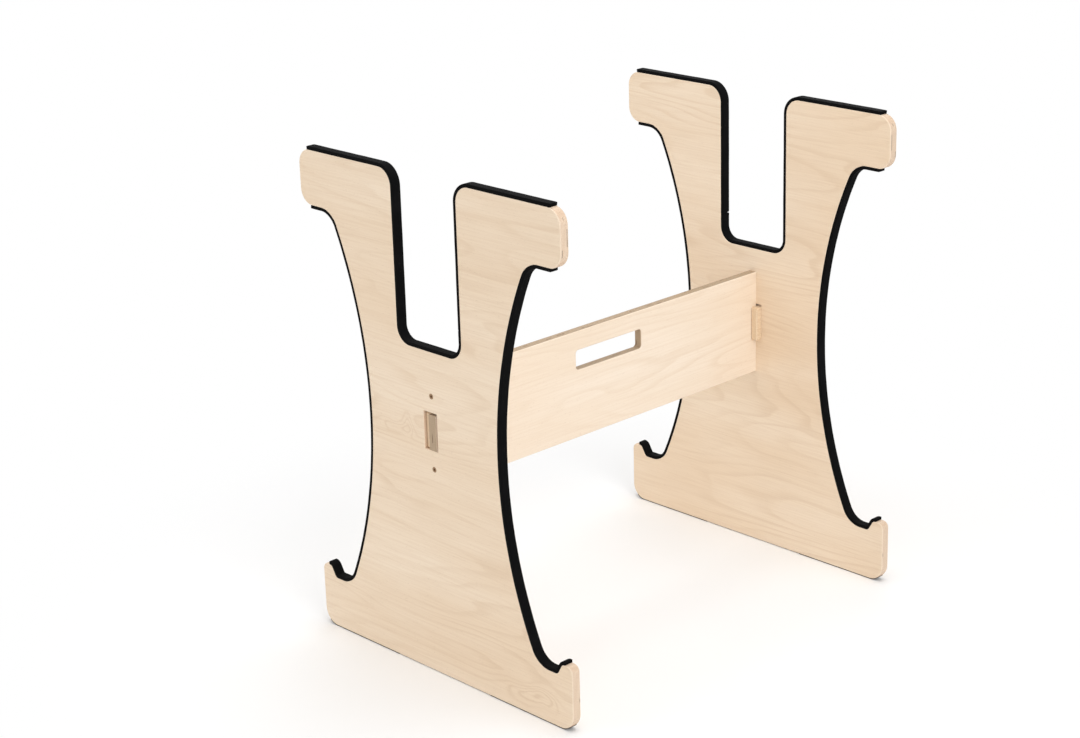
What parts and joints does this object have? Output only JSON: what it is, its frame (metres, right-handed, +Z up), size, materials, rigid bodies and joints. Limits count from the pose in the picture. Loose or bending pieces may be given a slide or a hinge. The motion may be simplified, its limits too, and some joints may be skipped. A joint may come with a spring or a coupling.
{
  "type": "surfboard rack",
  "caption": "Free-standing plywood surfboard rack: foam-lined end panels with a middle slot, hollow sides and lipped feet, joined by a stretcher with a hand hold.",
  "frame": {"origin": "on the floor, in the middle of the four feet", "axes": "+Z up, Y along the stretcher from the front panel to the rear panel, X across the panels"},
  "size_m": [0.646, 0.838, 0.903],
  "materials": {
    "birch_plywood": "pale birch veneer, sanded and clear matt lacquered, with layered edges",
    "black_foam": "closed-cell EVA foam strip, matt, fine-pored",
    "pad_rubber": "brown-grey anti-slip strip, matt",
    "bronzed_screw": "steel with a brown bronzed coat"
  },
  "bodies": {
    "root": {"stretcher": "birch_plywood", "front_panel": "birch_plywood", "rear_panel": "birch_plywood", "front_tenon_wedge": "birch_plywood", "rear_tenon_wedge": "birch_plywood", "front_long_crown_foam": "black_foam", "front_short_crown_foam": "black_foam", "front_left_side_foam": "black_foam", "front_right_side_foam": "black_foam", "rear_long_crown_foam": "black_foam", "rear_short_crown_foam": "black_foam", "rear_left_side_foam": "black_foam", "rear_right_side_foam": "black_foam", "front_left_foot_pad": "pad_rubber", "front_right_foot_pad": "pad_rubber", "rear_left_foot_pad": "pad_rubber", "rear_right_foot_pad": "pad_rubber", "front_upper_screw": "bronzed_screw", "front_lower_screw": "bronzed_screw", "rear_upper_screw": "bronzed_screw", "rear_lower_screw": "bronzed_screw"}
  },
  "joints": []
}
